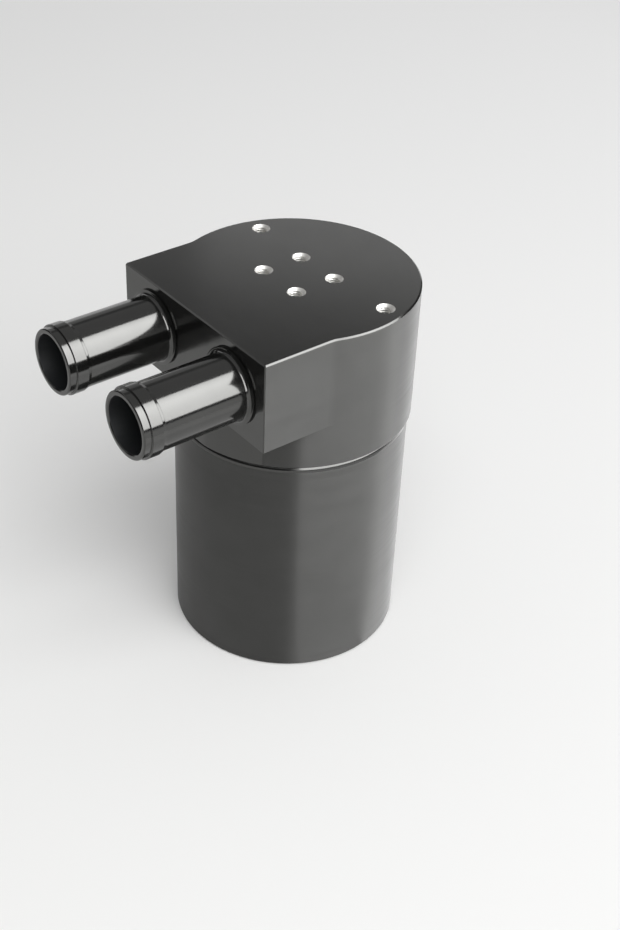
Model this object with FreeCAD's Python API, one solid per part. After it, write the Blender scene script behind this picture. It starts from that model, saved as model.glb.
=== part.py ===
import FreeCAD, Part
from FreeCAD import Vector
import math
import os

# Oil catch can: a turned can that screws up into a machined head with two hose barbs.
# Lengths are in millimetres. The origin is the centre of the can's base, +Z is up,
# and the hose barbs point along -Y.

# Can, turned in one piece with its neck
can_radius = 38.0
can_height = 83.0
can_wall = 3.0
can_floor = 5.0
can_floor_round = 3.0
can_base_chamfer = 0.6
can_shoulder_round = 1.2
shoulder_depth = 4.0

# Neck with an outside thread; the solid has the thread's root diameter
neck_step = 4.0
neck_length = 12.5
neck_wall = 2.0
neck_chamfer = 0.8
thread_depth = 1.0
thread_clearance = 0.3

# Head: a round collar below, and a block with a flat front and flat sides above
head_overhang = 1.0
collar_height = 15.0
block_height = 30.0
side_inset = 2.4
front_inset = 0.4
side_blend = 8.0
top_chamfer = 0.45
corner_chamfer = 0.3
collar_lip_round = 0.4
neck_headroom = 1.5

# Tapped holes in the top of the head: four in the middle and one near each side
tap_drill_radius = 2.1
tap_mouth_radius = 2.9
tap_depth = 12.0
drill_point_angle = 118.0
middle_hole_spacing_x = 16.6
middle_hole_spacing_y = 14.6
middle_hole_y = 1.4
side_hole_inset = 7.8
side_hole_y = 10.0

# Ports in the head's front, and the passages down from them
port_side_margin = 16.4
port_drop = 15.0
port_thread_depth = 11.5
passage_offset = 1.7
passage_y = -3.0
passage_radius = 7.0
port_overrun = 1.0

# Hose barbs, turned, screwed into the ports
barb_bore_radius = 8.8
barb_tube_radius = 10.5
barb_length = 36.6
barb_lip_radius = 10.4
barb_lip_length = 2.8
barb_edge_chamfer = 0.3
bead_radius = 11.15
bead_length = 3.4
bead_taper = 0.7
flange_radius = 12.35
flange_thickness = 0.8
flange_rim_round = 0.2
flare_radius = 4.75
shank_radius = 10.2
shank_length = 10.5
shank_chamfer = 0.8
thread_fit = 0.05

# O-rings, drawn squeezed in their seats
ring_fit = 0.3
can_ring_width = 2.6
can_ring_height = 2.1
can_ring_round = 0.7
barb_ring_width = 1.3
barb_ring_height = 1.2
barb_ring_round = 0.4
barb_ring_fit = 0.15

# Baffle plate and its gasket under the head
baffle_clearance = 1.0
baffle_thickness = 2.0
gasket_thickness = 1.0
gasket_relief = 0.5
bleed_hole_radius = 1.4
bleed_hole_pitch = 4.2
bleed_edge = 0.4
screw_edge_distance = 5.0
screw_count = 4
screw_radius = 2.0
screw_engagement = 5.0
screw_hole_spare = 0.5
screw_hole_clearance = 0.2
screw_head_radius = 3.8
screw_head_height = 2.4
screw_crown = 0.7
screw_socket_flats = 2.5
screw_socket_depth = 1.5

# Tube that leads the inlet flow below the mesh
down_tube_radius = 7.0
down_tube_wall = 1.0
down_tube_collar = 1.2
down_tube_reach = 19.5
tube_hole_clearance = 0.1

# Mesh pad on its perforated plate, hung on a stud in the middle of the head
stud_radius = 3.0
stud_engagement = 10.0
stud_hole_spare = 1.0
stud_hole_clearance = 0.2
stud_overhang = 1.5
sleeve_radius = 5.0
sleeve_length = 28.0
sleeve_clearance = 0.3
pad_rim = 1.0
pad_top_gap = 0.6
pad_clearance = 0.3
plate_rim = 0.5
plate_thickness = 1.5
plate_hole_radius = 2.4
plate_hole_pitch = 8.0
plate_hole_edge = 1.2
washer_radius = 6.0
washer_thickness = 1.2
nut_flats = 10.0
nut_height = 5.0
nut_corner_angle = 30.0

# Places and radii that follow from the sizes above
up = Vector(0, 0, 1)
origin = Vector(0, 0, 0)
can_bore = can_radius - can_wall
neck_root = can_radius - neck_step - thread_depth
neck_bore = neck_root - neck_wall
head_radius = can_radius + head_overhang
head_thread_radius = can_radius - neck_step + thread_clearance
ring_seat_radius = neck_root + 2 * ring_fit + can_ring_width
ceiling = can_height + neck_length + neck_headroom
block_base = can_height + collar_height
head_top = block_base + block_height
side_x = head_radius - side_inset
front_y = -(head_radius - front_inset)
port_x = side_x - port_side_margin
port_z = head_top - port_drop
port_end = passage_y + passage_radius + port_overrun
passage_x = port_x - passage_offset
side_hole_x = head_radius - side_hole_inset
tip_y = front_y - barb_length
flange_y = front_y - flange_thickness
barb_seat_radius = shank_radius + 2 * barb_ring_fit + barb_ring_width
baffle_radius = neck_bore - baffle_clearance
screw_circle_radius = baffle_radius - screw_edge_distance
pad_radius = baffle_radius - pad_rim
plate_radius = baffle_radius - plate_rim
gasket_base = ceiling - gasket_thickness
baffle_base = gasket_base - baffle_thickness
sleeve_base = baffle_base - sleeve_length
plate_base = sleeve_base - plate_thickness
washer_base = plate_base - washer_thickness
nut_base = washer_base - nut_height
stud_base = nut_base - stud_overhang
down_tube_end = plate_base - down_tube_reach
tube_hole_radius = down_tube_radius + tube_hole_clearance
collar_radius = down_tube_radius + down_tube_collar


# Builds a flat face from a start and steps; a step is an end point or an arc's (middle, end).
def face_from(start, steps):
    edges = []
    here = start
    for step in steps:
        if isinstance(step, tuple):
            middle, end = step
            edges.append(Part.Arc(here, middle, end).toShape())
        else:
            end = step
            edges.append(Part.LineSegment(here, end).toShape())
        here = end
    return Part.Face(Part.Wire(edges))


# Point of a section that is turned about Z: a radius and a height.
def section(radius, height):
    return Vector(radius, 0, height)


# Point on a circle in the section plane, at an angle in degrees; used as a corner arc's middle.
def on_arc(centre, radius, angle):
    turn = math.radians(angle)
    return centre + Vector(math.cos(turn), 0, math.sin(turn)) * radius


def turned(start, steps):
    return face_from(start, steps).revolve(origin, up, 360)


# Upright cylinder between two heights.
def post(radius, low, high, x=0.0, y=0.0):
    return Part.makeCylinder(radius, high - low, Vector(x, y, low), up)


def ring(outer, inner, low, high):
    return post(outer, low, high).cut(post(inner, low, high))


# Blind hole drilled down or up from a height, with the drill's cone at its end.
def drilled(radius, start, depth, direction, x, y):
    point = radius / math.tan(math.radians(drill_point_angle / 2))
    base = Vector(x, y, start)
    axis = up * direction
    wall = Part.makeCylinder(radius, depth, base, axis)
    cone = Part.makeCone(radius, 0, point, base + axis * depth, axis)
    return wall.fuse(cone)


# Hexagonal prism with its flats a given distance apart.
def hexagon(flats, low, height, x=0.0, y=0.0):
    corner = flats / math.sqrt(3)
    points = []
    for side in range(6):
        turn = math.radians(60 * side)
        points.append(Vector(x + corner * math.cos(turn), y + corner * math.sin(turn), low))
    points.append(points[0])
    return Part.Face(Part.makePolygon(points)).extrude(up * height)


# Centres of a triangular grid of holes inside a circle, one of them on its middle.
def triangle_grid(pitch, reach):
    rows = int(reach / pitch) + 2
    row_step = pitch * math.sin(math.radians(60))
    centres = []
    for row in range(-rows, rows + 1):
        for column in range(-rows - rows, rows + rows + 1):
            x = (column + row / 2) * pitch
            y = row * row_step
            if math.hypot(x, y) <= reach:
                centres.append((x, y))
    return centres


# Places of the baffle screws, set diagonally so that they miss the passages.
def screw_places():
    places = []
    for index in range(screw_count):
        turn = 2 * math.pi * (index + 0.5) / screw_count
        places.append((screw_circle_radius * math.cos(turn), screw_circle_radius * math.sin(turn)))
    return places


def can():
    thread_top = can_height + neck_length
    round_centre = section(can_bore - can_floor_round, can_floor + can_floor_round)
    bore_base = can_height - shoulder_depth
    shoulder_centre = section(can_radius - can_shoulder_round, can_height - can_shoulder_round)
    return turned(origin, [
        section(can_radius - can_base_chamfer, 0),
        section(can_radius, can_base_chamfer),
        section(can_radius, shoulder_centre.z),
        (on_arc(shoulder_centre, can_shoulder_round, 45), section(shoulder_centre.x, can_height)),
        section(neck_root, can_height),
        section(neck_root, thread_top - neck_chamfer),
        section(neck_root - neck_chamfer, thread_top),
        section(neck_bore, thread_top),
        section(neck_bore, bore_base),
        section(can_bore, bore_base - (can_bore - neck_bore)),
        section(can_bore, round_centre.z),
        (on_arc(round_centre, can_floor_round, -45), section(round_centre.x, can_floor)),
        section(0, can_floor),
        origin,
    ])


# Squeezed O-ring: flat where it is pressed, round at its corners.
def o_ring(inner, width, height, corner, base):
    outer = inner + width
    low = base + corner
    high = base + height - corner
    left = inner + corner
    right = outer - corner
    return turned(section(left, base), [
        section(right, base),
        (on_arc(section(right, low), corner, -45), section(outer, low)),
        section(outer, high),
        (on_arc(section(right, high), corner, 45), section(right, base + height)),
        section(left, base + height),
        (on_arc(section(left, high), corner, 135), section(inner, high)),
        section(inner, low),
        (on_arc(section(left, low), corner, -135), section(left, base)),
    ])


def can_o_ring():
    return o_ring(neck_root + ring_fit, can_ring_width, can_ring_height, can_ring_round, can_height)


# Plan of the block: a round back that blends into straight sides and a flat front.
def block_plan():
    blend_x = side_x + side_blend
    blend_y = -math.sqrt((head_radius + side_blend) ** 2 - blend_x ** 2)
    share = head_radius / (head_radius + side_blend)
    towards = Vector(-1, 0, 0) - Vector(blend_x, blend_y, 0).normalize()
    blend_middle = Vector(blend_x, blend_y, 0) + towards.normalize() * side_blend
    right_front = Vector(side_x, front_y, 0)
    right_side = Vector(side_x, blend_y, 0)
    right_round = Vector(blend_x * share, blend_y * share, 0)
    back = Vector(0, head_radius, 0)

    def mirrored(point):
        return Vector(-point.x, point.y, 0)

    return face_from(right_front, [
        right_side,
        (blend_middle, right_round),
        (back, mirrored(right_round)),
        (mirrored(blend_middle), mirrored(right_side)),
        mirrored(right_front),
        right_front,
    ])


# Edges that lie in one horizontal plane.
def edges_at(shape, height):
    found = []
    for edge in shape.Edges:
        box = edge.BoundBox
        if abs(box.ZMin - height) < 0.01 and abs(box.ZMax - height) < 0.01:
            found.append(edge)
    return found


# The two upright edges at the ends of the flat front.
def front_corners(shape):
    found = []
    for edge in shape.Edges:
        box = edge.BoundBox
        upright = box.ZLength > block_height / 2 and box.XLength < 0.01
        if upright and abs(box.YMin - front_y) < 0.01 and abs(abs(box.XMin) - side_x) < 0.01:
            found.append(edge)
    return found


def head_blank():
    block = block_plan().extrude(up * block_height)
    block.translate(up * block_base)
    collar = post(head_radius, can_height, block_base)
    room = Part.makeBox(2 * head_radius, head_radius - front_y, collar_height,
                        Vector(-head_radius, front_y, can_height))
    blank = block.fuse(collar.common(room)).removeSplitter()
    blank = blank.makeChamfer(corner_chamfer, front_corners(blank))
    blank = blank.makeChamfer(top_chamfer, edges_at(blank, head_top))
    return blank.makeFillet(collar_lip_round, edges_at(blank, can_height))


# Port in the front of the head: O-ring seat, thread, and the bore that turns down.
def port(side):
    x = side * port_x
    back = Vector(0, 1, 0)
    start = Vector(x, front_y, port_z)
    seat = Part.makeCylinder(barb_seat_radius, barb_ring_height, start, back)
    thread = Part.makeCylinder(shank_radius + thread_fit, port_thread_depth, start, back)
    bore = Part.makeCylinder(barb_bore_radius, port_end - front_y, start, back)
    passage = post(passage_radius, ceiling, port_z, side * passage_x, passage_y)
    return [seat, thread, bore, passage]


def tapped_hole(x, y):
    mouth_depth = tap_mouth_radius - tap_drill_radius
    mouth_base = Vector(x, y, head_top - mouth_depth)
    mouth = Part.makeCone(tap_drill_radius, tap_mouth_radius, mouth_depth, mouth_base, up)
    return [drilled(tap_drill_radius, head_top, tap_depth, -1, x, y), mouth]


def tapped_hole_places():
    half_x = middle_hole_spacing_x / 2
    half_y = middle_hole_spacing_y / 2
    places = []
    for x_sign in (-1, 1):
        places.append((x_sign * side_hole_x, side_hole_y))
        for y_sign in (-1, 1):
            places.append((x_sign * half_x, middle_hole_y + y_sign * half_y))
    return places


def head_block():
    cuts = [
        post(head_thread_radius, can_height, ceiling),
        post(ring_seat_radius, can_height, can_height + can_ring_height),
        drilled(stud_radius + thread_fit, ceiling, stud_engagement + stud_hole_spare, 1, 0, 0),
    ]
    for side in (-1, 1):
        cuts += port(side)
    for x, y in tapped_hole_places():
        cuts += tapped_hole(x, y)
    for x, y in screw_places():
        depth = screw_engagement + screw_hole_spare
        cuts.append(drilled(screw_radius + thread_fit, ceiling, depth, 1, x, y))
    return head_blank().cut(cuts)


# Turned hose barb: lip, raised bead, tube, flared foot, round flange and screwed shank.
def hose_barb(side):
    lip_end = tip_y + barb_lip_length
    bead_start = lip_end + barb_edge_chamfer
    bead_end = bead_start + bead_length
    foot_rise = flange_radius - flange_rim_round - barb_tube_radius
    foot_angle = math.acos(1 - foot_rise / flare_radius)
    foot_start = flange_y - flare_radius * math.sin(foot_angle)
    foot_middle = Vector(
        barb_tube_radius + flare_radius * (1 - math.cos(foot_angle / 2)),
        foot_start + flare_radius * math.sin(foot_angle / 2), 0)
    rim_centre = Vector(flange_radius - flange_rim_round, flange_y + flange_rim_round, 0)
    rim_middle = rim_centre + Vector(1, -1, 0).normalize() * flange_rim_round
    shank_end = front_y + shank_length
    face = face_from(Vector(barb_bore_radius + barb_edge_chamfer, tip_y, 0), [
        Vector(barb_lip_radius - barb_edge_chamfer, tip_y, 0),
        Vector(barb_lip_radius, tip_y + barb_edge_chamfer, 0),
        Vector(barb_lip_radius, lip_end, 0),
        Vector(bead_radius, bead_start, 0),
        Vector(bead_radius, bead_end, 0),
        Vector(barb_tube_radius, bead_end + bead_taper, 0),
        Vector(barb_tube_radius, foot_start, 0),
        (foot_middle, Vector(rim_centre.x, flange_y, 0)),
        (rim_middle, Vector(flange_radius, rim_centre.y, 0)),
        Vector(flange_radius, front_y, 0),
        Vector(shank_radius, front_y, 0),
        Vector(shank_radius, shank_end - shank_chamfer, 0),
        Vector(shank_radius - shank_chamfer, shank_end, 0),
        Vector(barb_bore_radius, shank_end, 0),
        Vector(barb_bore_radius, tip_y + barb_edge_chamfer, 0),
        Vector(barb_bore_radius + barb_edge_chamfer, tip_y, 0),
    ])
    barb = face.revolve(origin, Vector(0, 1, 0), 360)
    barb.translate(Vector(side * port_x, 0, port_z))
    return barb


def barb_o_ring(side):
    seal = o_ring(shank_radius + barb_ring_fit, barb_ring_width, barb_ring_height, barb_ring_round, 0)
    seal.rotate(origin, Vector(1, 0, 0), -90)
    seal.translate(Vector(side * port_x, front_y, port_z))
    return seal


def baffle_gasket():
    gasket = ring(baffle_radius, stud_radius + stud_hole_clearance, gasket_base, ceiling)
    cuts = [
        post(collar_radius + gasket_relief, gasket_base, ceiling, -passage_x, passage_y),
        post(passage_radius + gasket_relief, gasket_base, ceiling, passage_x, passage_y),
    ]
    for x, y in screw_places():
        cuts.append(post(screw_radius + screw_hole_clearance, gasket_base, ceiling, x, y))
    return gasket.cut(cuts)


def baffle_plate():
    plate = ring(baffle_radius, stud_radius + stud_hole_clearance, baffle_base, gasket_base)
    cuts = [post(tube_hole_radius, baffle_base, gasket_base, -passage_x, passage_y)]
    for x, y in triangle_grid(bleed_hole_pitch, passage_radius - bleed_hole_radius - bleed_edge):
        cuts.append(post(bleed_hole_radius, baffle_base, gasket_base, passage_x + x, passage_y + y))
    for x, y in screw_places():
        cuts.append(post(screw_radius + screw_hole_clearance, baffle_base, gasket_base, x, y))
    return plate.cut(cuts)


# Button-head socket screw, pointing up into the head.
def baffle_screw(x, y):
    low = baffle_base - screw_head_height
    crown_centre = section(screw_head_radius - screw_crown, low + screw_crown)
    screw = turned(section(0, low), [
        section(crown_centre.x, low),
        (on_arc(crown_centre, screw_crown, -45), section(screw_head_radius, crown_centre.z)),
        section(screw_head_radius, baffle_base),
        section(screw_radius, baffle_base),
        section(screw_radius, ceiling + screw_engagement),
        section(0, ceiling + screw_engagement),
        section(0, low),
    ])
    screw = screw.cut(hexagon(screw_socket_flats, low, screw_socket_depth))
    screw.translate(Vector(x, y, 0))
    return screw


# Tube with a collar that is clamped between the head and the baffle plate.
def down_tube():
    inner = down_tube_radius - down_tube_wall
    tube = turned(section(inner, down_tube_end), [
        section(down_tube_radius, down_tube_end),
        section(down_tube_radius, gasket_base),
        section(collar_radius, gasket_base),
        section(collar_radius, ceiling),
        section(inner, ceiling),
        section(inner, down_tube_end),
    ])
    tube.translate(Vector(-passage_x, passage_y, 0))
    return tube


def centre_stud():
    return post(stud_radius, stud_base, ceiling + stud_engagement)


def spacer_sleeve():
    return ring(sleeve_radius, stud_radius + sleeve_clearance, sleeve_base, baffle_base)


# Knitted wire pad, drawn as its closed outer shape, with holes for the sleeve and the tube.
def mesh_pad():
    top = baffle_base - screw_head_height - pad_top_gap
    pad = ring(pad_radius, sleeve_radius + pad_clearance, sleeve_base, top)
    return pad.cut(post(down_tube_radius + pad_clearance, sleeve_base, top, -passage_x, passage_y))


# Perforated plate that carries the pad; holes near the tube, the washer or the rim are left out.
def lower_plate():
    plate = ring(plate_radius, stud_radius + stud_hole_clearance, plate_base, sleeve_base)
    cuts = [post(tube_hole_radius, plate_base, sleeve_base, -passage_x, passage_y)]
    margin = plate_hole_radius + plate_hole_edge
    for x, y in triangle_grid(plate_hole_pitch, plate_radius - margin):
        off_tube = math.hypot(x + passage_x, y - passage_y) > tube_hole_radius + margin
        off_washer = math.hypot(x, y) > washer_radius + margin / 2
        if off_tube and off_washer:
            cuts.append(post(plate_hole_radius, plate_base, sleeve_base, x, y))
    return plate.cut(cuts)


def stud_washer():
    return ring(washer_radius, stud_radius + stud_hole_clearance, washer_base, plate_base)


# Hexagon nut with its corners chamfered on both faces.
def stud_nut():
    corner = nut_flats / math.sqrt(3)
    drop = (corner - nut_flats / 2) * math.tan(math.radians(nut_corner_angle))
    cone = turned(section(0, nut_base), [
        section(nut_flats / 2, nut_base),
        section(corner, nut_base + drop),
        section(corner, washer_base - drop),
        section(nut_flats / 2, washer_base),
        section(0, washer_base),
        section(0, nut_base),
    ])
    nut = hexagon(nut_flats, nut_base, nut_height).common(cone)
    return nut.cut(post(stud_radius + thread_fit, nut_base, washer_base))


pieces = {
    "can": can(),
    "can_o_ring": can_o_ring(),
    "head_block": head_block(),
    "inlet_hose_barb": hose_barb(-1),
    "outlet_hose_barb": hose_barb(1),
    "inlet_barb_o_ring": barb_o_ring(-1),
    "outlet_barb_o_ring": barb_o_ring(1),
    "baffle_gasket": baffle_gasket(),
    "baffle_plate": baffle_plate(),
    "down_tube": down_tube(),
    "centre_stud": centre_stud(),
    "spacer_sleeve": spacer_sleeve(),
    "mesh_pad": mesh_pad(),
    "lower_plate": lower_plate(),
    "stud_washer": stud_washer(),
    "stud_nut": stud_nut(),
}
for number, (x, y) in enumerate(screw_places(), start=1):
    pieces["baffle_screw_" + str(number)] = baffle_screw(x, y)

os.makedirs("parts", exist_ok=True)
for name, shape in pieces.items():
    shape.exportStep("parts/" + name + ".step")
    print(name, "valid" if shape.isValid() else "NOT VALID", len(shape.Solids), round(shape.Volume, 1))
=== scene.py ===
import math

import bpy
from mathutils import Matrix, Vector


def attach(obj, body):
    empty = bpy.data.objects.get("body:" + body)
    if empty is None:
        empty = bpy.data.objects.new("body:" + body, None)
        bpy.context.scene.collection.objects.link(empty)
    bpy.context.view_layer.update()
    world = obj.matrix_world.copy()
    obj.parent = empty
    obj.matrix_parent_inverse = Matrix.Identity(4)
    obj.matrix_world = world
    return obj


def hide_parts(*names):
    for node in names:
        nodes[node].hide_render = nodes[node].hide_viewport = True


# Oil catch can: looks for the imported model. Lengths in the dictionaries are in millimetres.
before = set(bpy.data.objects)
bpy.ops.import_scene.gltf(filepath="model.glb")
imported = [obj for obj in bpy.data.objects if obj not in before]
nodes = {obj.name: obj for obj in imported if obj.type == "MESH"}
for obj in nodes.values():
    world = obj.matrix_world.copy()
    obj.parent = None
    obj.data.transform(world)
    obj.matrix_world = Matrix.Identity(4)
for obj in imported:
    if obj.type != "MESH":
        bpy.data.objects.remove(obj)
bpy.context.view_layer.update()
mm = 0.001
mergeGap = 0.001 * mm
print("frame loaded:", len(nodes), "nodes")


# colours and shader nodes
def linearColour(code):
    # sRGB hex to the linear values that a shader takes
    parts = [int(code[i:i + 2], 16) / 255 for i in (1, 3, 5)]
    return [p / 12.92 if p <= 0.04045 else ((p + 0.055) / 1.055) ** 2.4 for p in parts] + [1.0]


def addNode(tree, kind, settings=None, inputs=None):
    # adds a node, sets its properties, then each input to a value or to another node's socket
    node = tree.nodes.new(kind)
    for key, value in (settings or {}).items():
        setattr(node, key, value)
    for key, value in (inputs or {}).items():
        if isinstance(value, bpy.types.NodeSocket):
            tree.links.new(value, node.inputs[key])
        else:
            node.inputs[key].default_value = value
    return node


def newMaterial(name, settings):
    # a material with one shader, whose plain values come from the settings
    material = bpy.data.materials.new(name)
    material.use_nodes = True
    tree = material.node_tree
    tree.nodes.clear()
    shader = addNode(tree, "ShaderNodeBsdfPrincipled", None, settings)
    addNode(tree, "ShaderNodeOutputMaterial", None, {"Surface": shader.outputs["BSDF"]})
    return material, tree, shader


def patternPlace(tree, stretch=(1, 1, 1)):
    # Object coordinates, squeezed along chosen axes
    place = addNode(tree, "ShaderNodeTexCoord")
    squeezed = addNode(tree, "ShaderNodeMapping", None, {"Vector": place.outputs["Object"], "Scale": stretch})
    return squeezed.outputs["Vector"]


def toneBetween(tree, shader, share, first, second):
    # the base colour runs from the first tone to the second with the share
    tone = addNode(tree, "ShaderNodeMix", {"data_type": "RGBA"}, {
        0: share, 6: linearColour(first), 7: linearColour(second)})
    tree.links.new(tone.outputs[2], shader.inputs["Base Color"])


def raiseBy(tree, shader, height, depth):
    # bump of the given depth in mm
    bump = addNode(tree, "ShaderNodeBump", None, {"Height": height, "Strength": 1.0, "Distance": depth * mm})
    tree.links.new(bump.outputs["Normal"], shader.inputs["Normal"])


def cutMetal(name, look):
    # machined metal: slow changes of tone, and tool marks that run round or along the piece
    material, tree, shader = newMaterial(name, {"Metallic": look["metallic"], "Anisotropic": look["smear"]})
    if look["smear"]:
        # the cutter's grooves smear a reflection across themselves
        tangent = addNode(tree, "ShaderNodeTangent", {"direction_type": "RADIAL", "axis": look["axis"]})
        tree.links.new(tangent.outputs["Tangent"], shader.inputs["Tangent"])
        shader.inputs["Anisotropic Rotation"].default_value = 0.25
    clouds = addNode(tree, "ShaderNodeTexNoise", None, {
        "Vector": patternPlace(tree), "Scale": 1 / (look["toneSize"] * mm), "Detail": 3.0})
    toneBetween(tree, shader, clouds.outputs["Fac"], look["darkTone"], look["paleTone"])
    marks = addNode(tree, "ShaderNodeTexNoise", None, {
        "Vector": patternPlace(tree, look["markStretch"]), "Scale": 1 / (look["markPitch"] * mm),
        "Detail": 2.0, "Roughness": 0.6})
    rough = addNode(tree, "ShaderNodeMapRange", None, {
        "Value": marks.outputs["Fac"], "From Min": 0.3, "From Max": 0.7,
        "To Min": look["roughness"] * 0.9, "To Max": look["roughness"] * 1.1})
    tree.links.new(rough.outputs["Result"], shader.inputs["Roughness"])
    raiseBy(tree, shader, marks.outputs["Fac"], look["markDepth"])
    return material


# Black anodised aluminium: the dyed oxide is nearly black, and the metal under it gives a grey sheen.
# Feed marks are really about 0.1 mm apart; they are drawn at half a millimetre so that they show.
turnedBlack = {
    "metallic": 0.93, "darkTone": "#4A4A49", "paleTone": "#525251", "toneSize": 14.0,
    "roughness": 0.32, "smear": 1.0, "axis": "Z",
    "markPitch": 0.5, "markStretch": (0.004, 0.004, 1), "markDepth": 0.0004,
}
barbBlack = {**turnedBlack, "roughness": 0.13, "smear": 0.3, "axis": "Y",
             "markStretch": (0.004, 1, 0.004), "markDepth": 0.0002}
milledBlack = {**turnedBlack, "roughness": 0.16, "smear": 0.0,
               "markPitch": 0.3, "markStretch": (0.02, 1, 0.3), "markDepth": 0.0001}
# Bored and dyed, but not polished: darker and duller.
boredBlack = {**turnedBlack, "metallic": 0.3, "darkTone": "#202224", "paleTone": "#28292A",
              "roughness": 0.5, "smear": 0.0, "markStretch": (0.004, 1, 0.004)}
# Bare aluminium, cut after the dyeing: bright, with a soft satin blur.
tappedBare = {**turnedBlack, "metallic": 1.0, "darkTone": "#C6C5C2", "paleTone": "#DAD9D6", "toneSize": 1.5,
              "roughness": 0.5, "smear": 0.0, "markPitch": 0.2, "markStretch": (1, 1, 1), "markDepth": 0.003}
# Plain aluminium, turned and left bare.
plainAluminium = {**turnedBlack, "metallic": 1.0, "darkTone": "#D2D3D3", "paleTone": "#DEDFDF",
                  "roughness": 0.3, "smear": 0.5, "markDepth": 0.0006}
# Zinc-plated steel: cool grey, fairly bright, with a faint mottle from the bath.
zincSteel = {**turnedBlack, "metallic": 1.0, "darkTone": "#B4B8BC", "paleTone": "#C9CCD0", "toneSize": 2.0,
             "roughness": 0.26, "smear": 0.0, "markPitch": 0.4, "markStretch": (1, 1, 1), "markDepth": 0.0008}

canFinish = cutMetal("black anodised aluminium, turned", turnedBlack)
barbFinish = cutMetal("black anodised aluminium, turned fine", barbBlack)
boredFinish = cutMetal("black anodised aluminium, bored", boredBlack)
milledFinish = cutMetal("black anodised aluminium, milled", milledBlack)
bareFinish = cutMetal("bare aluminium, tapped", tappedBare)
aluminiumFinish = cutMetal("plain aluminium, turned", plainAluminium)
zincFinish = cutMetal("zinc-plated steel", zincSteel)


def rubberMaterial():
    # moulded nitrile rubber: black, dull, with a fine moulded grain
    look = {"grain": 0.25, "grainDepth": 0.004, "dust": "#2B2B2A", "black": "#151515"}
    material, tree, shader = newMaterial("nitrile rubber, moulded", {"Roughness": 0.55, "Specular IOR Level": 0.45})
    grain = addNode(tree, "ShaderNodeTexNoise", None, {
        "Vector": patternPlace(tree), "Scale": 1 / (look["grain"] * mm), "Detail": 3.0})
    toneBetween(tree, shader, grain.outputs["Fac"], look["black"], look["dust"])
    raiseBy(tree, shader, grain.outputs["Fac"], look["grainDepth"])
    return material


def knittedMaterial():
    # knitted stainless wire: bright loops over dark gaps, whose dark is painted shade of the pad's inside
    look = {"loop": 1.6, "wire": "#C4C3BF", "gap": "#2A2A29", "wireEdge": 0.06, "gapEdge": 0.2, "depth": 0.25}
    material, tree, shader = newMaterial("stainless wire, knitted", {"Metallic": 1.0, "Roughness": 0.34})
    loops = addNode(tree, "ShaderNodeTexVoronoi", {"feature": "DISTANCE_TO_EDGE"}, {
        "Vector": patternPlace(tree), "Scale": 1 / (look["loop"] * mm), "Randomness": 0.75})
    wires = addNode(tree, "ShaderNodeMapRange", None, {
        "Value": loops.outputs["Distance"], "From Min": look["wireEdge"], "From Max": look["gapEdge"],
        "To Min": 1.0, "To Max": 0.0})
    # the cell middles take the gap tone: painted shade where the pad's inside would show between the loops
    toneBetween(tree, shader, wires.outputs["Result"], look["gap"], look["wire"])
    raiseBy(tree, shader, wires.outputs["Result"], look["depth"])
    return material


rubberFinish = rubberMaterial()
knittedFinish = knittedMaterial()


def dress(names, material):
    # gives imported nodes, which keep their own meshes, their finish
    for name in names:
        nodes[name].data.materials.clear()
        nodes[name].data.materials.append(material)


dress(["can_o_ring", "inlet_barb_o_ring", "outlet_barb_o_ring", "baffle_gasket"], rubberFinish)
dress(["baffle_plate", "down_tube", "spacer_sleeve", "lower_plate"], aluminiumFinish)
screws = ["baffle_screw_" + str(number) for number in (1, 2, 3, 4)]
dress(screws + ["stud_washer", "stud_nut"], zincFinish)
print("materials made")


# modelling helpers
def startFresh():
    bpy.ops.object.select_all(action="DESELECT")


def pick(piece):
    # selects one piece alone and makes it the active one
    startFresh()
    piece.select_set(True)
    bpy.context.view_layer.objects.active = piece


def drawSection(name, points):
    # a plane shrunk to one vertex and pulled from point to point, as a section is drawn by hand
    startFresh()
    bpy.ops.mesh.primitive_plane_add(size=mm, location=(0, 0, 0))
    piece = bpy.context.object
    piece.name = name
    bpy.ops.object.mode_set(mode="EDIT")
    bpy.ops.mesh.merge(type="CENTER")
    bpy.ops.transform.translate(value=Vector(points[0]) * mm)
    for here, there in zip(points, points[1:]):
        bpy.ops.mesh.extrude_region_move(TRANSFORM_OT_translate={"value": (Vector(there) - Vector(here)) * mm})
    bpy.ops.mesh.select_all(action="SELECT")
    bpy.ops.mesh.remove_doubles(threshold=mergeGap)
    bpy.ops.object.mode_set(mode="OBJECT")
    return piece


def turnSection(piece, axis, steps):
    # spins the drawn section right round an axis through the origin
    bpy.ops.object.mode_set(mode="EDIT")
    bpy.ops.mesh.select_all(action="SELECT")
    bpy.ops.mesh.spin(steps=steps, angle=2 * math.pi, center=(0, 0, 0), axis=axis)
    bpy.ops.mesh.select_all(action="SELECT")
    bpy.ops.mesh.remove_doubles(threshold=mergeGap)
    bpy.ops.mesh.normals_make_consistent(inside=False)
    bpy.ops.object.mode_set(mode="OBJECT")


def useModifier(piece, kind, settings):
    # adds a modifier with its settings and applies it
    pick(piece)
    modifier = piece.modifiers.new(kind.lower(), kind)
    for key, value in settings.items():
        setattr(modifier, key, value)
    bpy.ops.object.modifier_apply(modifier=modifier.name)


def softenEdges(piece, width):
    # small rounds on the edges that turn by more than 25 degrees, so that they catch the light
    useModifier(piece, "BEVEL", {"width": width * mm, "segments": 2, "limit_method": "ANGLE",
                                 "angle_limit": math.radians(25), "use_clamp_overlap": True})
    shadeEven(piece)


def shadeSmooth(piece, angle=30):
    # smooth shading that stays sharp at edges past the angle
    pick(piece)
    bpy.ops.object.shade_smooth_by_angle(angle=math.radians(angle))


def shadeEven(piece):
    # smooth shading in which the wide faces keep their own direction and the narrow rounds do the bending
    shadeSmooth(piece)
    useModifier(piece, "WEIGHTED_NORMAL", {"mode": "FACE_AREA", "weight": 100, "keep_sharp": True})


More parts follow.
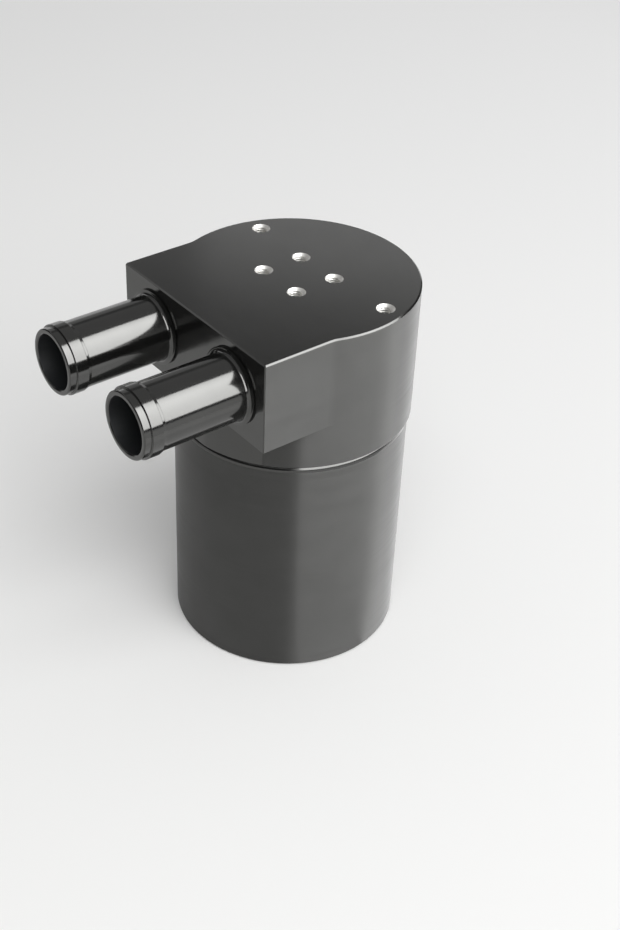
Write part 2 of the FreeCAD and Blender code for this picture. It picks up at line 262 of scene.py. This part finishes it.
def settle(piece, place):
    # puts the piece in its place and keeps that place in its mesh
    pick(piece)
    piece.location = Vector(place) * mm
    bpy.ops.object.transform_apply(location=True, rotation=True, scale=True)


def finishPiece(piece, material, body, replaced=()):
    # gives the piece its finish, unless it has one, and its body, and hides the imported nodes that it stands for
    if not piece.data.materials:
        piece.data.materials.append(material)
    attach(piece, body)
    if replaced:
        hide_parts(*replaced)


def cutThread(name, thread):
    # a helical ridge: its section is drawn once, wound by a Screw modifier, and cut flat at both ends
    root, crest, pitch = thread["root"], thread["crest"], thread["pitch"]
    sunk = root - thread["sink"] if crest > root else root + thread["sink"]
    flank = abs(crest - root) * math.tan(math.radians(thread["flankAngle"]))
    halfCrest = thread["crestWidth"] / 2
    halfRoot = halfCrest + flank
    low = thread["bottom"] - pitch + thread.get("phase", 0)
    turns = math.ceil((thread["top"] - thread["bottom"]) / pitch) + 2
    section = [(sunk, 0, low - halfRoot), (root, 0, low - halfRoot), (crest, 0, low - halfCrest),
               (crest, 0, low + halfCrest), (root, 0, low + halfRoot), (sunk, 0, low + halfRoot),
               (sunk, 0, low - halfRoot)]
    piece = drawSection(name, section)
    useModifier(piece, "SCREW", {
        "axis": "Z", "angle": 2 * math.pi, "screw_offset": pitch * mm, "iterations": turns,
        "steps": thread["steps"], "render_steps": thread["steps"], "use_merge_vertices": False})
    bpy.ops.object.mode_set(mode="EDIT")
    for height, side in ((thread["bottom"], -1), (thread["top"], 1)):
        bpy.ops.mesh.select_all(action="SELECT")
        bpy.ops.mesh.bisect(plane_co=(0, 0, height * mm), plane_no=(0, 0, side),
                            clear_outer=True, use_fill=True)
    bpy.ops.mesh.select_all(action="SELECT")
    bpy.ops.mesh.remove_doubles(threshold=mergeGap)
    bpy.ops.mesh.normals_make_consistent(inside=False)
    bpy.ops.object.mode_set(mode="OBJECT")
    shadeSmooth(piece)
    return piece


def arcOfPoints(centreX, centreY, radius, start, end, count):
    # points on an arc of the section plane, from one angle to another
    angles = [math.radians(start + (end - start) * i / count) for i in range(count + 1)]
    return [(centreX + radius * math.cos(a), centreY + radius * math.sin(a)) for a in angles]


# head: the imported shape, with each surface in the finish of the tool that cut it
head = {
    "top": 128.0, "frontY": -38.6,
    "holes": [(-8.3, -5.9), (-8.3, 8.7), (8.3, -5.9), (8.3, 8.7), (-31.2, 10.0), (31.2, 10.0)],
    "holeMouth": 2.95, "holeBottom": 114.0, "lipTop": 83.45,
    "topEdge": 0.5, "frontEdgesFrom": -30.0, "surfaceGap": 0.01,
}


def copyNode(node, name, finishes):
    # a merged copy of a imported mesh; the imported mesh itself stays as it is
    piece = nodes[node].copy()
    piece.data = nodes[node].data.copy()
    piece.name = name
    bpy.context.scene.collection.objects.link(piece)
    piece.data.materials.clear()
    for material in finishes:
        piece.data.materials.append(material)
    pick(piece)
    bpy.ops.object.mode_set(mode="EDIT")
    bpy.ops.mesh.select_all(action="SELECT")
    bpy.ops.mesh.remove_doubles(threshold=mergeGap)
    bpy.ops.object.mode_set(mode="OBJECT")
    bpy.ops.mesh.customdata_custom_splitnormals_clear()
    shadeEven(piece)
    return piece


def dressHead():
    turned, milled, bare, fine = range(4)
    piece = copyNode("head_block", "head", (canFinish, milledFinish, bareFinish, barbFinish))
    for face in piece.data.polygons:
        x, y, z = (v / mm for v in face.center)
        axisAligned = max(abs(v) for v in face.normal) > 0.999
        onTop = z > head["top"] - head["surfaceGap"]
        onFront = abs(y - head["frontY"]) < head["surfaceGap"]
        onEdge = z > head["top"] - head["topEdge"] or (y < head["frontEdgesFrom"] and not axisAligned)
        if z > head["holeBottom"] and not onTop and any(
                math.hypot(x - hx, y - hy) < head["holeMouth"] for hx, hy in head["holes"]):
            face.material_index = bare
        elif axisAligned and (onTop or onFront) or onEdge:
            face.material_index = milled
        else:
            face.material_index = fine if z < head["lipTop"] else turned
    finishPiece(piece, None, "head", ["head_block"])


dressHead()
print("head dressed")

# can: turned section of radius and z, with a soft shoulder that shows as a bright line under the head
can = {
    "radius": 38.0, "height": 83.0, "baseChamfer": 0.6, "shoulderRound": 2.5,
    "neckRoot": 33.0, "neckTop": 95.5, "neckChamfer": 0.8, "neckBore": 31.0, "neckFoot": 79.0,
    "bore": 35.0, "boreTop": 75.0, "floorRound": 3.0, "floor": 5.0, "edgeRound": 0.1,
    "fineRadius": 34.0, "steps": 192,
}


def makeCan():
    c = can
    shoulder = arcOfPoints(c["radius"] - c["shoulderRound"], c["height"] - c["shoulderRound"],
                           c["shoulderRound"], 0, 90, 12)
    corner = arcOfPoints(c["bore"] - c["floorRound"], c["floor"] + c["floorRound"], c["floorRound"], 0, -90, 8)
    outline = [
        (0, 0), (c["radius"] - c["baseChamfer"], 0), (c["radius"], c["baseChamfer"]), *shoulder,
        (c["neckRoot"], c["height"]), (c["neckRoot"], c["neckTop"] - c["neckChamfer"]),
        (c["neckRoot"] - c["neckChamfer"], c["neckTop"]), (c["neckBore"], c["neckTop"]),
        (c["neckBore"], c["neckFoot"]), (c["bore"], c["boreTop"]), *corner, (0, c["floor"]),
    ]
    piece = drawSection("round_can", [(r, 0, z) for r, z in outline])
    turnSection(piece, (0, 0, 1), c["steps"])
    softenEdges(piece, c["edgeRound"])
    for material in (canFinish, barbFinish):
        piece.data.materials.append(material)
    for face in piece.data.polygons:
        x, y, z = (v / mm for v in face.center)
        onShoulder = z > c["height"] - c["shoulderRound"] and math.hypot(x, y) > c["fineRadius"]
        face.material_index = 1 if onShoulder else 0
    finishPiece(piece, None, "can", ["can"])


makeCan()
print("can turned")

# hose barbs: turned sections of radius and y
barb = {
    "boreRadius": 8.8, "lipRadius": 10.5, "beadRadius": 11.1, "bandRadius": 10.8, "tubeRadius": 10.5,
    "flangeRadius": 12.15, "flangeFoot": 11.85,
    "tip": -75.2, "lipEnd": -72.8, "beadEnd": -68.95, "bandEnd": -68.0, "stepWidth": 0.15,
    "flangeFront": -39.35, "base": -38.6, "filletRadius": 1.15, "mouthChamfer": 0.3,
    "shankRadius": 10.2, "shankEnd": -28.1, "shankChamfer": 0.8,
    "height": 113.0, "spacing": 20.2, "edgeRound": 0.04, "steps": 144,
}


def makeBarb(name, side, node):
    b = barb
    chamfer, step = b["mouthChamfer"], b["stepWidth"]
    fillet = arcOfPoints(b["tubeRadius"] + b["filletRadius"], b["flangeFront"] - b["filletRadius"],
                         b["filletRadius"], 180, 90, 10)
    mouth = (b["boreRadius"] + chamfer, b["tip"])
    outline = [
        mouth, (b["lipRadius"] - chamfer, b["tip"]), (b["lipRadius"], b["tip"] + chamfer),
        (b["lipRadius"], b["lipEnd"]), (b["beadRadius"], b["lipEnd"] + step), (b["beadRadius"], b["beadEnd"]),
        (b["bandRadius"], b["beadEnd"] + step), (b["bandRadius"], b["bandEnd"]),
        (b["tubeRadius"], b["bandEnd"] + step), *fillet, (b["flangeRadius"], b["flangeFront"]),
        (b["flangeFoot"], b["base"]), (b["shankRadius"], b["base"]),
        (b["shankRadius"], b["shankEnd"] - b["shankChamfer"]),
        (b["shankRadius"] - b["shankChamfer"], b["shankEnd"]),
        (b["boreRadius"], b["shankEnd"]), (b["boreRadius"], b["tip"] + chamfer), mouth,
    ]
    piece = drawSection(name, [(r, y, 0) for r, y in outline])
    turnSection(piece, (0, 1, 0), b["steps"])
    softenEdges(piece, b["edgeRound"])
    for material in (barbFinish, boredFinish):
        piece.data.materials.append(material)
    for face in piece.data.polygons:
        radius = math.hypot(face.center.x, face.center.z)
        face.material_index = 1 if radius < b["boreRadius"] * mm + b["edgeRound"] * mm else 0
    settle(piece, (side * b["spacing"], 0, b["height"]))
    finishPiece(piece, None, "head", [node])


makeBarb("inlet_barb", -1, "inlet_hose_barb")
makeBarb("outlet_barb", 1, "outlet_hose_barb")
print("barbs turned")

# threads: 2 mm pitch on the neck and in the head, right-handed, so that they follow the unscrewing
neckThread = {"root": 33.0, "crest": 34.0, "pitch": 2.0, "crestWidth": 0.25, "flankAngle": 30, "sink": 0.15,
              "bottom": 85.4, "top": 94.6, "steps": 96}
socketThread = {"root": 34.3, "crest": 33.35, "pitch": 2.0, "crestWidth": 0.25, "flankAngle": 30, "sink": 0.15,
                "bottom": 85.4, "top": 96.8, "phase": 1.0, "steps": 96}
finishPiece(cutThread("neck_thread", neckThread), canFinish, "can")
finishPiece(cutThread("socket_thread", socketThread), canFinish, "head")

# M5 thread in each tapped hole, 0.8 mm pitch
tappedThread = {"root": 2.1, "crest": 1.8, "pitch": 0.8, "crestWidth": 0.1, "flankAngle": 30, "sink": 0.05,
                "bottom": 116.6, "top": 127.15, "steps": 28}
for number, (x, y) in enumerate(head["holes"], start=1):
    piece = cutThread("tapped_thread_" + str(number), tappedThread)
    settle(piece, (x, y, 0))
    finishPiece(piece, bareFinish, "head")
print("threads cut")

# centre stud: a plain shank with a 1 mm pitch thread at both ends
stud = {
    "radius": 3.0, "core": 2.45, "base": 56.8, "top": 107.0, "plainFrom": 66.5, "plainTo": 96.0,
    "runOut": 0.4, "ridgeGap": 0.2, "endGap": 0.5, "steps": 48,
}
studRidge = {"root": 2.45, "crest": 3.0, "pitch": 1.0, "crestWidth": 0.12, "flankAngle": 30, "sink": 0.1, "steps": 36}


def makeStud():
    s = stud
    outline = [
        (0, s["base"]), (s["core"], s["base"]), (s["core"], s["plainFrom"] - s["runOut"]),
        (s["radius"], s["plainFrom"]), (s["radius"], s["plainTo"]), (s["core"], s["plainTo"] + s["runOut"]),
        (s["core"], s["top"]), (0, s["top"]),
    ]
    piece = drawSection("threaded_stud", [(r, 0, z) for r, z in outline])
    turnSection(piece, (0, 0, 1), s["steps"])
    shadeSmooth(piece)
    parts = [piece]
    for low, high in ((s["base"] + s["endGap"], s["plainFrom"] - s["ridgeGap"]),
                      (s["plainTo"] + s["ridgeGap"], s["top"] - s["endGap"])):
        parts.append(cutThread("stud_ridge", {**studRidge, "bottom": low, "top": high}))
    startFresh()
    for part in parts:
        part.select_set(True)
    bpy.context.view_layer.objects.active = piece
    bpy.ops.object.join()
    finishPiece(piece, zincFinish, "head", ["centre_stud"])


makeStud()
print("stud threaded")

# mesh pad: knitted wire tape wound round the sleeve, so its faces show coils and its wall shows courses
pad = {
    "inner": 5.3, "outer": 29.0, "bottom": 66.0, "top": 91.0, "courses": 8, "coils": 7, "bulge": 0.7, "steps": 96,
    "tubeX": -18.5, "tubeY": -3.0, "tubeRadius": 7.3, "cutLength": 40.0,
}


def scallops(start, end, count, out, depth):
    # a row of shallow bulges between two points, sunk by depth where they meet
    points = []
    for i in range(count):
        for j in range(4):
            t = (i + j / 4) / count
            sunk = depth * (1 - math.sin(math.pi * j / 4))
            points.append(tuple(a + (b - a) * t - o * sunk for a, b, o in zip(start, end, out)))
    return points


def makePad():
    p = pad
    lowIn, lowOut = (p["inner"], p["bottom"]), (p["outer"], p["bottom"])
    highIn, highOut = (p["inner"], p["top"]), (p["outer"], p["top"])
    outline = scallops(lowIn, lowOut, p["coils"], (0, -1), p["bulge"])
    outline += scallops(lowOut, highOut, p["courses"], (1, 0), p["bulge"])
    outline += scallops(highOut, highIn, p["coils"], (0, 1), p["bulge"])
    outline += scallops(highIn, lowIn, p["courses"], (-1, 0), 0)
    outline.append(outline[0])
    piece = drawSection("knitted_pad", [(r, 0, z) for r, z in outline])
    turnSection(piece, (0, 0, 1), p["steps"])
    startFresh()
    bpy.ops.mesh.primitive_cylinder_add(
        vertices=48, radius=p["tubeRadius"] * mm, depth=p["cutLength"] * mm,
        location=(p["tubeX"] * mm, p["tubeY"] * mm, (p["bottom"] + p["top"]) / 2 * mm))
    cutter = bpy.context.object
    useModifier(piece, "BOOLEAN", {"operation": "DIFFERENCE", "solver": "EXACT", "object": cutter})
    bpy.data.objects.remove(cutter)
    shadeSmooth(piece, 50)
    finishPiece(piece, knittedFinish, "head", ["mesh_pad"])


makePad()
print("pad wound")

# stage, in metres: a white floor, a little paler behind the part, which is painted light and shade that make up for
# the lamp's fall-off, and a pale backdrop that only the camera and the metal see
stageSet = {
    "floorSize": 6.0, "floorNear": "#F0F0EF", "floorFarPaintedLight": "#FFFFFF", "nearY": -0.15, "farY": 0.5,
    "horizon": "#E9E9E9", "backdrop": 1.35, "roomLight": 0.43,
}
startFresh()
bpy.ops.mesh.primitive_plane_add(size=stageSet["floorSize"], location=(0, 0, 0))
floor = bpy.context.object
floor.name = "floor"
floorMaterial, tree, shader = newMaterial("white card, matt", {"Roughness": 0.9, "Specular IOR Level": 0.0})
# the base colour runs along Y from painted shade in front of the part to painted light behind it
place = addNode(tree, "ShaderNodeSeparateXYZ", None, {0: addNode(tree, "ShaderNodeTexCoord").outputs["Object"]})
reach = addNode(tree, "ShaderNodeMapRange", None, {
    "Value": place.outputs["Y"], "From Min": stageSet["nearY"], "From Max": stageSet["farY"]})
toneBetween(tree, shader, reach.outputs["Result"], stageSet["floorNear"], stageSet["floorFarPaintedLight"])
floor.data.materials.append(floorMaterial)

world = bpy.data.worlds.new("room")
bpy.context.scene.world = world
world.use_nodes = True
tree = world.node_tree
tree.nodes.clear()
rays = addNode(tree, "ShaderNodeLightPath")
room = addNode(tree, "ShaderNodeBackground", None, {
    "Color": linearColour("#FFFFFF"), "Strength": stageSet["roomLight"]})
backdrop = addNode(tree, "ShaderNodeBackground", None, {
    "Color": linearColour(stageSet["horizon"]), "Strength": stageSet["backdrop"]})
direct = addNode(tree, "ShaderNodeMath", {"operation": "MAXIMUM"}, {
    0: rays.outputs["Is Camera Ray"], 1: rays.outputs["Is Glossy Ray"]})
seen = addNode(tree, "ShaderNodeMath", {"operation": "MAXIMUM"}, {
    0: direct.outputs[0], 1: rays.outputs["Is Transmission Ray"]})
mix = addNode(tree, "ShaderNodeMixShader", None, {0: seen.outputs[0], 1: room.outputs[0], 2: backdrop.outputs[0]})
addNode(tree, "ShaderNodeOutputWorld", None, {"Surface": mix.outputs[0]})


def towardsPlace(azimuth, elevation):
    # unit vector to a direction: azimuth 0 is -Y, 90 is +X
    a, e = math.radians(azimuth), math.radians(elevation)
    return Vector((math.sin(a) * math.cos(e), -math.cos(a) * math.cos(e), math.sin(e)))


def softLamp(name, lamp):
    # a rectangular lamp that faces the part and lights it without showing in it; radiance 1 looks white
    towards = towardsPlace(lamp["azimuth"], lamp["elevation"])
    data = bpy.data.lights.new(name, "AREA")
    data.shape = "RECTANGLE"
    data.size, data.size_y = lamp["width"], lamp["height"]
    data.energy = lamp["radiance"] * math.pi * lamp["width"] * lamp["height"]
    piece = bpy.data.objects.new(name, data)
    bpy.context.scene.collection.objects.link(piece)
    piece.location = Vector((0, 0, lamp["aimHeight"])) + towards * lamp["distance"]
    piece.rotation_euler = towards.to_track_quat("Z", "Y").to_euler()
    piece.visible_camera = piece.visible_glossy = False


def paintCard(card, name, level, rim=1.0):
    # rim is the share of the level that is left at the card's edges, as on a softbox with a hot middle
    card.name = name
    material, tree, shader = newMaterial(name + " card", {
        "Base Color": (0, 0, 0, 1), "Specular IOR Level": 0,
        "Emission Color": (1, 1, 1, 1), "Emission Strength": level})
    if rim < 1:
        middle = addNode(tree, "ShaderNodeTexGradient", {"gradient_type": "SPHERICAL"}, {
            "Vector": patternPlace(tree, (1.5, 1.5, 1.5))})
        fade = addNode(tree, "ShaderNodeMapRange", {"interpolation_type": "SMOOTHSTEP"}, {
            "Value": middle.outputs["Fac"], "To Min": level * rim, "To Max": level})
        tree.links.new(fade.outputs["Result"], shader.inputs["Emission Strength"])
    card.data.materials.append(material)
    card.visible_camera = card.visible_diffuse = card.visible_shadow = card.visible_transmission = False


aimHeight = 0.06


def uprightCard(name, level, azimuths, elevations, distance, rim=1.0):
    # a card that shows only in the metal's reflections, as a photographer's flag or reflector does
    low, high = (math.radians(v) for v in azimuths)
    middle, half = (low + high) / 2, (high - low) / 2
    bottom, top = (math.tan(math.radians(v)) * distance for v in elevations)
    startFresh()
    bpy.ops.mesh.primitive_plane_add(
        size=1, rotation=(math.pi / 2, 0, middle),
        location=(math.sin(middle) * distance, -math.cos(middle) * distance, aimHeight + (bottom + top) / 2))
    bpy.context.object.scale = (2 * distance * math.tan(half), top - bottom, 1)
    paintCard(bpy.context.object, name, level, rim)


def ceilingCard(name, level, height, width):
    # a square card over the part, turned so that its sides lie along the softboxes
    startFresh()
    bpy.ops.mesh.primitive_plane_add(size=width, rotation=(0, 0, math.radians(38)), location=(0, 0, height))
    paintCard(bpy.context.object, name, level)


def litFloor(name, level, azimuths, radius, height, corner=(0, 0)):
    # a sector of floor that the softbox lights harder, as the metal sees it
    startFresh()
    bpy.ops.mesh.primitive_circle_add(vertices=64, radius=radius, fill_type="NGON", location=(*corner, height))
    sector = bpy.context.object
    bpy.ops.object.mode_set(mode="EDIT")
    for azimuth, side in ((azimuths[0], -1), (azimuths[1], 1)):
        bpy.ops.mesh.select_all(action="SELECT")
        bpy.ops.mesh.bisect(plane_co=(*corner, 0), plane_no=towardsPlace(azimuth + 90, 0) * side, clear_outer=True)
    bpy.ops.object.mode_set(mode="OBJECT")
    paintCard(sector, name, level)


# name, level, azimuths, elevations, distance in metres, and the share of the level at the rim
dark = 0.07
uprightCards = [
    ("front_flag_left", dark, (-80, -35), (-3, 27), 1.4),
    ("front_flag_middle", dark, (-35, 10), (-3, 27), 1.4),
    ("front_flag_right", dark, (10, 56), (-3, 27), 1.4),
    ("side_softbox", 7.0, (62, 106), (8, 59), 1.1),
    ("middle_softbox", 9.0, (106, 158), (8, 66), 1.1, 0.8),
    ("side_gap", dark, (62, 106), (1, 8), 1.1),
    ("middle_gap", dark, (106, 158), (1, 8), 1.1),
    ("back_flag", dark, (158, 202), (-3, 50), 1.1),
    ("horizon_shade", 0.5, (-123, -108), (13, 31), 1.4),
]
# name, level, azimuths, radius and height over the floor, and the corner that the sector starts from
litFloors = [
    ("lit_floor", 1.3, (61, 203), 0.3, 0.0003),
    ("lit_floor_near", 1.1, (61, 150), 0.158, 0.0005),
    ("lit_floor_back", 2.5, (147, 208), 0.4, 0.0006, (0.0377, 0.0046)),
]
overhead = {"azimuth": 76, "elevation": 50, "distance": 1.5, "width": 1.5, "height": 1.36,
            "aimHeight": aimHeight, "radiance": 3.4}

ceilingCard("ceiling", 0.2, 2.954, 9.79)
ceilingCard("ceiling_light", 0.45, 2.915, 6.35)
for card in uprightCards:
    uprightCard(*card)
for sector in litFloors:
    litFloor(*sector)
softLamp("overhead", overhead)
print("stage and lamps set")

# camera: as the photo's, whose frame is cropped off the lens axis
view = {
    "focal": 1492.73, "centreColumn": 255.0, "frameWidth": 620, "frameHeight": 930, "sensor": 36.0,
    "azimuth": 53.139, "elevation": 36.214, "roll": -1.121, "place": (317.225, -251.907, 352.016),
    "clipNear": 0.01, "clipFar": 20,
}
back = towardsPlace(view["azimuth"], view["elevation"])
right = Vector((0, 0, 1)).cross(back).normalized()
level = Matrix((right, back.cross(right), back)).transposed().to_4x4()
turn = Matrix.Rotation(math.radians(-view["roll"]), 4, back) @ level
lens = bpy.data.cameras.new("camera")
lens.sensor_width = view["sensor"]
lens.lens = view["focal"] * view["sensor"] / view["frameHeight"]
lens.shift_x = (view["frameWidth"] / 2 - view["centreColumn"]) / view["frameHeight"]
lens.clip_start, lens.clip_end = view["clipNear"], view["clipFar"]
camera = bpy.data.objects.new("camera", lens)
bpy.context.scene.collection.objects.link(camera)
camera.matrix_world = Matrix.Translation(Vector(view["place"]) * mm) @ turn
bpy.context.scene.camera = camera
bpy.context.scene.view_settings.view_transform = "Standard"
print("camera set")
